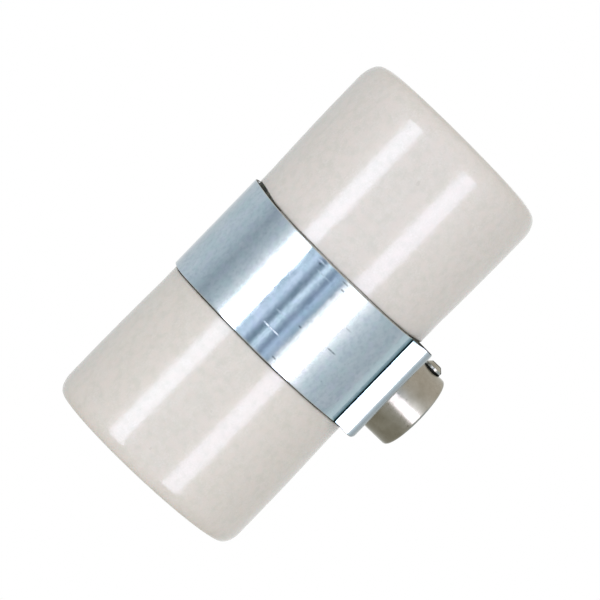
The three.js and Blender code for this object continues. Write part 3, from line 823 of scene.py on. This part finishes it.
# ---- Hub and its locking screw ----
def hub():
    """Built along +X from its end face, then stood on z = 0."""
    radius = (HUB_HIGH.x - HUB_LOW.x) / 2
    top = HUB_HIGH.z
    shoulder, rim = SEAT_Z - 0.02 * MM, top - 0.9 * MM
    root, pitch = 4.95 * MM, 1 * MM  # of the thread in the bore
    spigot_r, rolled_r = 6 * MM, 7.2 * MM  # through the strap's seat, and rolled over inside it
    body = filleted([
        (0, root + 0.35 * MM),
        (0, radius - 0.02 * MM, 0.7 * MM),
        (shoulder, radius, 0.12 * MM),
        (shoulder, spigot_r, 0.1 * MM),
        (rim, spigot_r, 0.1 * MM),
        (rim, rolled_r, 0.25 * MM),
        (top, rolled_r, 0.55 * MM),
        (top, root - 0.25 * MM),
    ], 5)
    bore = subdivided((top - 0.3 * MM, root), (0.5 * MM, root), 84)
    cut = thread(-0.48 * MM, pitch, 0.7 * MM, top - 0.5 * MM, 0.9 * MM)

    def shape(x, r, angle):
        inside = r < root + 0.01 * MM and 0.4 * MM < x < top - 0.2 * MM
        return x, r + (cut(x, angle) if inside else 0)

    outline = body + bore
    obj = revolve("hub", outline + [outline[0]], 112, shape)
    moved(obj, along((0, 0, 1)))
    low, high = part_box("hub_grub_screw")
    hole = drill((high.y - low.y) / 2 + 0.1 * MM, 3 * MM, 12 * MM, 0, (low.z + high.z) / 2, sides=40)
    combine(obj, [hole], "DIFFERENCE")
    return dress(obj, "lampholder", HUB_STEEL, ["threaded_hub"])


def grub():
    """The locking screw, bevelled at its inner end, rounded and slotted at its outer one."""
    low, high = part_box("hub_grub_screw")
    radius = (high.y - low.y) / 2
    outline = filleted([
        (low.x, 0),
        (low.x, radius * 0.68),
        (low.x + 0.6 * MM, radius - 0.02 * MM),
    ], 3)
    outline += subdivided((low.x + 0.65 * MM, radius), (high.x - 1.0 * MM, radius), 44)
    outline += filleted([
        (high.x - 0.95 * MM, radius),
        (high.x - 0.85 * MM, radius, 0.05 * MM),
        (high.x, radius * 0.55, 0.45 * MM),
        (high.x, 0),
    ], 6)
    cut = thread(-0.3 * MM, 0.7 * MM, low.x + 0.5 * MM, high.x - 1.5 * MM, 0.4 * MM)

    def shape(x, r, angle):
        return x, r + (cut(x, angle) if r > radius - 0.01 * MM else 0)

    obj = revolve("grub_screw", outline, 48, shape)
    half = 0.35 * MM  # of the slot's width
    slot = slab((high.x - 1.1 * MM, -radius - MM, -half), (high.x + MM, radius + MM, half))
    tilt = Matrix.Rotation(math.radians(62), 4, "X")
    combine(obj, [moved(slot, tilt)], "DIFFERENCE")
    moved(obj, Matrix.Translation((0, 0, (low.z + high.z) / 2)))
    dress(obj, "grub", GRUB_STEEL, ["hub_grub_screw"])
    obj.data.materials.append(GRUB_SHADE)
    unshaded_from, unshaded_to = HUB_HIGH.x + 0.2 * MM, high.x - 0.28 * MM  # painted shade on the thread at its root and a painted dark reflection on its end
    for face in obj.data.polygons:
        face.material_index = 0 if unshaded_from <= face.center.x <= unshaded_to else 1
    return obj


HUB = hub()
GRUB = grub()


# ---- Screw shells ----
def shell(letter, side):
    """The rolled lamp thread, with two lugs at its foot for the fixing screws."""
    node = f"screw_shell_{letter}"
    low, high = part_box(node)
    x0, x1 = sorted((abs(low.x), abs(high.x)))
    minor, depth, sheet = 12.35 * MM, 0.95 * MM, 0.45 * MM
    rows = 96
    edge = 0.12 * MM
    outside = subdivided((x0, minor + sheet), (x1, minor + sheet), rows)
    inside = subdivided((x1, minor), (x0, minor), rows)
    rolled = filleted([outside[-1], (x1 + edge, minor + sheet / 2, edge), inside[0]], 3)[1:-1]
    outline = outside + rolled + inside
    cut = thread(depth, LAMP_PITCH, x0, x1, 2.2 * MM)
    obj = revolve(f"shell_{letter}", outline + [outline[0]], 112, lambda x, r, a: (x, r + cut(x, a)))
    plate = prism(112, minor + sheet / 2, x0, x0 + sheet)
    bar = slab((x0 - MM, -20 * MM, -3.2 * MM), (x0 + MM, 20 * MM, 3.2 * MM))
    combine(plate, [bar], "INTERSECT")
    middle = slab((x0 - MM, -6.9 * MM, -9 * MM), (x0 + MM, 6.9 * MM, 9 * MM))
    holes = [drill(1.5 * MM, x0 - MM, x0 + MM, y) for y in (FIXING_R, -FIXING_R)]
    combine(plate, [middle, *holes], "DIFFERENCE")
    combine(obj, [plate], "UNION")
    moved(obj, socket_turn(side))
    return dress(obj, "lampholder", SHELL_BRASS, [node])


for letter, side in SIDES.items():
    shell(letter, side)


# ---- Fasteners ----
def screw(name, shank, head, head_height, length, pitch, slot_width):
    """A slotted cheese-head screw along +X: underside of the head at x = 0."""
    outline = [(-length, 0), (-length, shank * 0.7)]
    rows = max(8, round(length / pitch * 7))
    outline += subdivided((-length + 0.25 * MM, shank), (-0.1 * MM, shank), rows)
    outline += filleted([
        (0, shank),
        (0, head, 0.12 * MM),
        (head_height, head, 0.32 * MM),
        (head_height, head * 0.4),
    ])
    outline.append((head_height + 0.04 * MM, 0))
    cut = thread(-0.54 * pitch, pitch, -length + 0.1 * MM, -0.5 * MM, 0.4 * MM)

    def shape(x, r, angle):
        return x, r + (cut(x, angle) if abs(r - shank) < 1e-6 and x < 0 else 0)

    obj = revolve(name, outline, 40, shape)
    half = slot_width / 2
    slot = slab((head_height * 0.45, -head - MM, -half), (head_height + MM, head + MM, half))
    return combine(obj, [slot], "DIFFERENCE")


def nut(name, across_flats, height, bore):
    """A hexagon nut along +X from x = 0, chamfered at both faces."""
    corner = across_flats / math.sqrt(3)
    obj = revolve(name, [
        (0, 0),
        (0, across_flats * 0.47),
        (0.28 * MM, corner + 0.05 * MM),
        (height - 0.28 * MM, corner + 0.05 * MM),
        (height, across_flats * 0.47),
        (height, 0),
    ], 96)
    combine(obj, [prism(6, corner, -MM, height + MM)], "INTERSECT", 18)
    return combine(obj, [drill(bore, -MM, height + MM)], "DIFFERENCE", 18)


def copies(pattern, finish, body_of_node, places):
    """Puts a copy of a pattern at each place (node, matrix), then removes the pattern."""
    for node, matrix in places:
        obj = placed(bpy.data.objects.new(f"{node}_detail", pattern.data.copy()))
        moved(obj, matrix)
        dress(obj, body_of_node(node), finish, [node])
    bpy.data.objects.remove(pattern)


def at_node(node, facing, head_height, turn_deg):
    """Matrix that brings a screw to its CAD node: facing is which way its head looks along X."""
    low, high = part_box(node)
    x = high.x - head_height if facing > 0 else low.x + head_height
    spot = Matrix.Translation((x, (low.y + high.y) / 2, (low.z + high.z) / 2))
    spin = Matrix.Rotation(math.radians(turn_deg), 4, "X")
    return spot @ (Matrix.Identity(4) if facing > 0 else Matrix.Rotation(math.pi, 4, "Z")) @ spin


def static(_node):
    """The body of every fastener that doesn't move."""
    return "lampholder"


# Each group lists (node, place); every screw's slot stops at an angle of its own
fixing, clamps, ties, small_nuts, tie_nuts = [], [], [], [], []
for number, (letter, side) in enumerate(SIDES.items()):
    names = (f"shell_screw_{letter}1", f"shell_screw_{letter}2", f"contact_screw_{letter}")
    for k, node in enumerate(names):
        fixing.append((node, at_node(node, side, FIXING_HEAD, 23 + 57 * k + 31 * number)))
    for k, node in enumerate((f"clamp_screw_neutral_{letter}", f"clamp_screw_live_{letter}")):
        clamps.append((node, at_node(node, -side, FIXING_HEAD, 12 + 71 * k + 43 * number)))
    node = f"tie_screw_{letter}"
    ties.append((node, at_node(node, side, TIE_HEAD, 38 + 95 * number)))
    for node, group in ((f"shell_nut_{letter}", small_nuts), (f"tie_nut_{letter}", tie_nuts)):
        low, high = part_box(node)
        group.append((node, Matrix.Translation((low.x, (low.y + high.y) / 2, (low.z + high.z) / 2))))

small_screw = screw("small_screw", 1.25 * MM, 2.15 * MM, FIXING_HEAD, 9.3 * MM, 0.45 * MM, 0.6 * MM)
copies(small_screw, SCREW_STEEL, static, fixing)
clamp_screw = screw("clamp_screw", 1.4 * MM, 2.35 * MM, FIXING_HEAD, 3.4 * MM, 0.5 * MM, 0.8 * MM)
copies(clamp_screw, NICKEL, lambda node: node.replace("clamp_screw", "clamp"), clamps)
tie_low, tie_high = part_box("tie_screw_a")
tie_length = tie_high.x - tie_low.x - TIE_HEAD
tie_screw = screw("tie_screw", 1.45 * MM, 2.65 * MM, TIE_HEAD, tie_length, 0.5 * MM, 0.8 * MM)
copies(tie_screw, SCREW_STEEL, static, ties)
copies(nut("small_nut", 5 * MM, 2 * MM, 1.3 * MM), NICKEL, static, small_nuts)
copies(nut("tie_nut", 5.5 * MM, 2.2 * MM, 1.5 * MM), NICKEL, static, tie_nuts)


# ---- Centre contacts ----
def tongue(letter, side):
    """The springing part of the centre contact, with a pressed pip where the lamp touches."""
    line = filleted([
        (6.98 * MM, 15.5 * MM),
        (6.2 * MM, 16.05 * MM, 0.4 * MM),
        (1.7 * MM, 19.1 * MM, 2.2 * MM),
        (-1.4 * MM, 19.3 * MM, 2.0 * MM),
        (-4.2 * MM, 17.8 * MM),
    ], 8)
    section = strip_section(4 * MM, 0.4 * MM, 0.1 * MM, 8)
    obj = sweep(f"tongue_{letter}", line, section, ((0, 0, 1), (1, 0, 0), (0, 1, 0)))
    pip_r, pip_height = 1.4 * MM, 0.55 * MM
    crown = [(pip_height * math.sin(a), pip_r * math.cos(a)) for a in (0.35, 0.7, 1.05, 1.35)]
    pip = revolve("pip", [(0, 0), (0, pip_r), *crown, (pip_height, 0)], 32)
    moved(pip, Matrix.Translation((19.15 * MM, 0, 0.1 * MM)))
    combine(obj, [pip], "UNION")
    moved(obj, socket_turn(side))
    return dress(obj, f"tongue_{letter}", BRONZE, [f"contact_tongue_{letter}"])


for letter, side in SIDES.items():
    tongue(letter, side)


# ---- CAD nodes whose shape is already right ----
def carry_over(node, finish, edge):
    """Keeps a CAD node, with slightly broken edges and its own finish."""
    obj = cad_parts[node]
    obj.data.materials.clear()
    obj.data.materials.append(finish[0])
    for face in obj.data.polygons:
        face.material_index = 0
    bevel = obj.modifiers.new("broken_edges", "BEVEL")
    bevel.width = edge
    bevel.segments = 2
    bevel.limit_method = "ANGLE"
    bevel.angle_limit = math.radians(50)
    bevel.harden_normals = False


for letter in SIDES:
    carry_over(f"contact_foot_{letter}", BRONZE, 0.06 * MM)
    for kind in ("neutral", "live"):
        carry_over(f"terminal_block_{kind}_{letter}", BLOCK_BRASS, 0.12 * MM)
carry_over("insulating_disc", PRESSBOARD, 0.1 * MM)

# ---- Camera: a long lens, a little above the hub's plane, rolled so that the body lies diagonal ----
VIEW_WIDTH = 121.4 * MM  # width of the picture at the body's axis
DISTANCE = 0.7
SENSOR = 36  # mm
TOWARDS_A = math.radians(1.2)  # the camera stands this far round towards mouth a
ABOVE = math.radians(9.2)  # and this far above the level of the hub's end
ROLL = math.radians(45.9)  # slope of the body's axis in the picture
AIM_RIGHT, AIM_UP = -0.04 * MM, 0.668 * MM  # where it aims, from the body's middle

to_camera = Vector((math.sin(TOWARDS_A), 0, math.sin(ABOVE)))
to_camera.y = -math.sqrt(1 - to_camera.length_squared)
body_up = (Vector((1, 0, 0)) - to_camera * to_camera.x).normalized()
hub_way = body_up.cross(to_camera)
right = body_up * math.cos(ROLL) + hub_way * math.sin(ROLL)
up = to_camera.cross(right)
aim = AXIS + right * AIM_RIGHT + up * AIM_UP

camera_data = bpy.data.cameras.new("camera")
camera_data.sensor_width = SENSOR
camera_data.lens = SENSOR * DISTANCE / VIEW_WIDTH
camera_data.clip_start = 0.01
camera = placed(bpy.data.objects.new("camera", camera_data))
turn = Matrix((right, up, to_camera)).transposed().to_4x4()
camera.matrix_world = Matrix.Translation(aim + to_camera * DISTANCE) @ turn
bpy.context.scene.camera = camera


# ---- Light ----
def direction(towards_hub, towards_a):
    """A direction given as two angles in degrees away from the camera's own."""
    v, u = math.radians(towards_hub), math.radians(towards_a)
    level = to_camera * math.cos(v) + hub_way * math.sin(v)
    return (level * math.cos(u) + body_up * math.sin(u)).normalized()


def softbox(name, towards_hub, towards_a, colour, glossy_only=True):
    """A rectangular softbox that covers two ranges of angles, in degrees. Colour is its radiance."""
    distance = 0.8
    width = 2 * distance * math.tan(math.radians((towards_a[1] - towards_a[0]) / 2))
    height = 2 * distance * math.tan(math.radians((towards_hub[1] - towards_hub[0]) / 2))
    light = bpy.data.lights.new(name, "AREA")
    light.shape = "RECTANGLE"
    light.size, light.size_y = width, height
    light.color = tuple(c / max(colour) for c in colour)
    light.energy = max(colour) * width * height * math.pi
    obj = placed(bpy.data.objects.new(name, light))
    facing = direction(sum(towards_hub) / 2, sum(towards_a) / 2)
    side_way = (body_up - facing * body_up.dot(facing)).normalized()
    other = facing.cross(side_way)
    matrix = Matrix((side_way, other, facing)).transposed().to_4x4()
    obj.matrix_world = Matrix.Translation(AXIS + facing * distance) @ matrix
    obj.visible_camera = False
    obj.visible_diffuse = not glossy_only
    return obj


softbox("softbox_upper", (-48.2, -29.6), (-33, 10.5), (4.2, 4.6, 5.7))
lower = softbox("softbox_lower", (24.5, 44), (-32, 9.5), (4.1, 4.2, 5.4))
window = softbox("hub_window", (15, 44), (-23, 4.5), (2.3, 2.2, 2.6))
# The hub and its screw see a narrower softbox of their own instead of the lower one
for light, state in ((lower, "EXCLUDE"), (window, "INCLUDE")):
    seen_by = bpy.data.collections.new(light.name + "_receivers")
    light.light_linking.receiver_collection = seen_by
    for piece in (HUB, GRUB):
        seen_by.objects.link(piece)
    for entry in seen_by.collection_objects:
        entry.light_linking.link_state = state
# A wide soft light for the matt side of things only; it shows in no reflection
key = softbox("soft_key", (-54, 46), (-40, 40), (0.64, 0.69, 0.81), glossy_only=False)
key.visible_glossy = False


ROOM = [  # degrees from the camera's direction towards the hub's side, and the room's colour there
    (-180, (0.9, 0.9, 0.9)),
    (-154, (0.58, 0.63, 0.66)),
    (-137, (0.53, 0.61, 0.65)),
    (-120, (0.55, 0.63, 0.68)),
    (-100, (0.47, 0.555, 0.61)),
    (-84, (0.33, 0.395, 0.445)),
    (-66, (0.49, 0.57, 0.62)),
    (-56, (0.80, 0.86, 0.90)),
    (-51, (1.30, 1.36, 1.40)),
    (-32, (1.30, 1.36, 1.40)),
    (-28, (0.45, 0.57, 0.70)),
    (-19.5, (0.72, 0.88, 1.06)),
    (-16.5, (0.54, 0.67, 0.84)),
    (-13, (0.215, 0.295, 0.385)),
    (-8.5, (0.20, 0.275, 0.355)),
    (-6, (0.78, 0.96, 1.12)),
    (-3, (0.86, 1.06, 1.20)),
    (-0.8, (0.45, 0.58, 0.72)),
    (2.8, (0.215, 0.295, 0.40)),
    (5.5, (0.225, 0.305, 0.42)),
    (8, (0.52, 0.68, 0.88)),
    (15.4, (0.33, 0.43, 0.53)),
    (17.6, (0.58, 0.64, 0.70)),
    (20, (1.25, 1.26, 1.28)),
    (46, (1.25, 1.26, 1.28)),
    (51, (0.98, 1.02, 1.05)),
    (58, (0.70, 0.775, 0.82)),
    (68, (0.545, 0.63, 0.68)),
    (80, (0.50, 0.57, 0.61)),
    (98, (0.435, 0.50, 0.545)),
    (130, (0.62, 0.68, 0.70)),
    (180, (0.95, 0.95, 0.95)),
]
ROOM_STRENGTH = 2.0
# Seen along the body, from mouth b's end to mouth a's, the room is dim and warm grey
ACROSS = [
    (0, (0.17, 0.165, 0.135)),
    (0.5, (0.31, 0.32, 0.31)),
    (1, (0.33, 0.31, 0.275)),
]


def studio_world():
    """White for the camera, even white for matt surfaces, and a grey-blue room for reflections."""
    world = bpy.data.worlds.new("studio")
    bpy.context.scene.world = world
    tree = Tree(world)
    tree.nodes.clear()
    around = tree.maths("ARCTAN2", tree.dot(hub_way, "Generated"), tree.dot(to_camera, "Generated"))
    room = tree.ramp(tree.remap(around, -math.pi, math.pi), [
        ((degrees + 180) / 360, tuple(c / ROOM_STRENGTH for c in colour)) for degrees, colour in ROOM
    ])
    sideways = tree.dot(body_up, "Generated")
    ends = tree.ramp(tree.remap(sideways, -1, 1), ACROSS)
    room = tree.mix(tree.remap(tree.maths("ABSOLUTE", sideways), 0.18, 0.5), room, ends)

    def background(colour, strength):
        node = tree.nodes.new("ShaderNodeBackground")
        tree.put(node.inputs["Color"], colour)
        node.inputs["Strength"].default_value = strength
        return node.outputs[0]

    reflections = background(room, ROOM_STRENGTH)
    matt = background((1.0, 0.985, 0.96), 0.655)
    seen = background((1.0, 1.0, 1.0), 1.0)
    rays = tree.nodes.new("ShaderNodeLightPath")
    lit = tree.either(rays.outputs["Is Diffuse Ray"], reflections, matt)
    output = tree.nodes.new("ShaderNodeOutputWorld")
    tree.links.new(tree.either(rays.outputs["Is Camera Ray"], lit, seen), output.inputs["Surface"])


studio_world()


# ---- Floor ----
def white_floor():
    """A plain white floor just under the hub's end, clear from below, so that every side shows."""
    bm = bmesh.new()
    size, z = 3.0, cad_box[0][2] - 0.05 * MM
    corners = [(-size, -size, z), (size, -size, z), (size, size, z), (-size, size, z)]
    bm.faces.new([bm.verts.new(c) for c in corners])
    floor = finish_mesh("floor", bm)
    if floor.data.polygons[0].normal.z < 0:
        floor.data.flip_normals()
    material = bpy.data.materials.new("white_floor")
    tree = Tree(material)
    tree.nodes.clear()
    glow = tree.nodes.new("ShaderNodeEmission")
    tree.put(glow.inputs["Color"], (1, 1, 1))
    clear = tree.nodes.new("ShaderNodeBsdfTransparent")
    below = tree.nodes.new("ShaderNodeNewGeometry").outputs["Backfacing"]
    output = tree.nodes.new("ShaderNodeOutputMaterial")
    tree.links.new(tree.either(below, glow.outputs[0], clear.outputs[0]), output.inputs["Surface"])
    floor.data.materials.append(material)
    floor.visible_glossy = False
    floor.visible_diffuse = False
    floor.visible_shadow = False


white_floor()

settings = bpy.context.scene.view_settings
settings.view_transform = "Standard"
settings.look = "None"
settings.exposure = 0
settings.gamma = 1
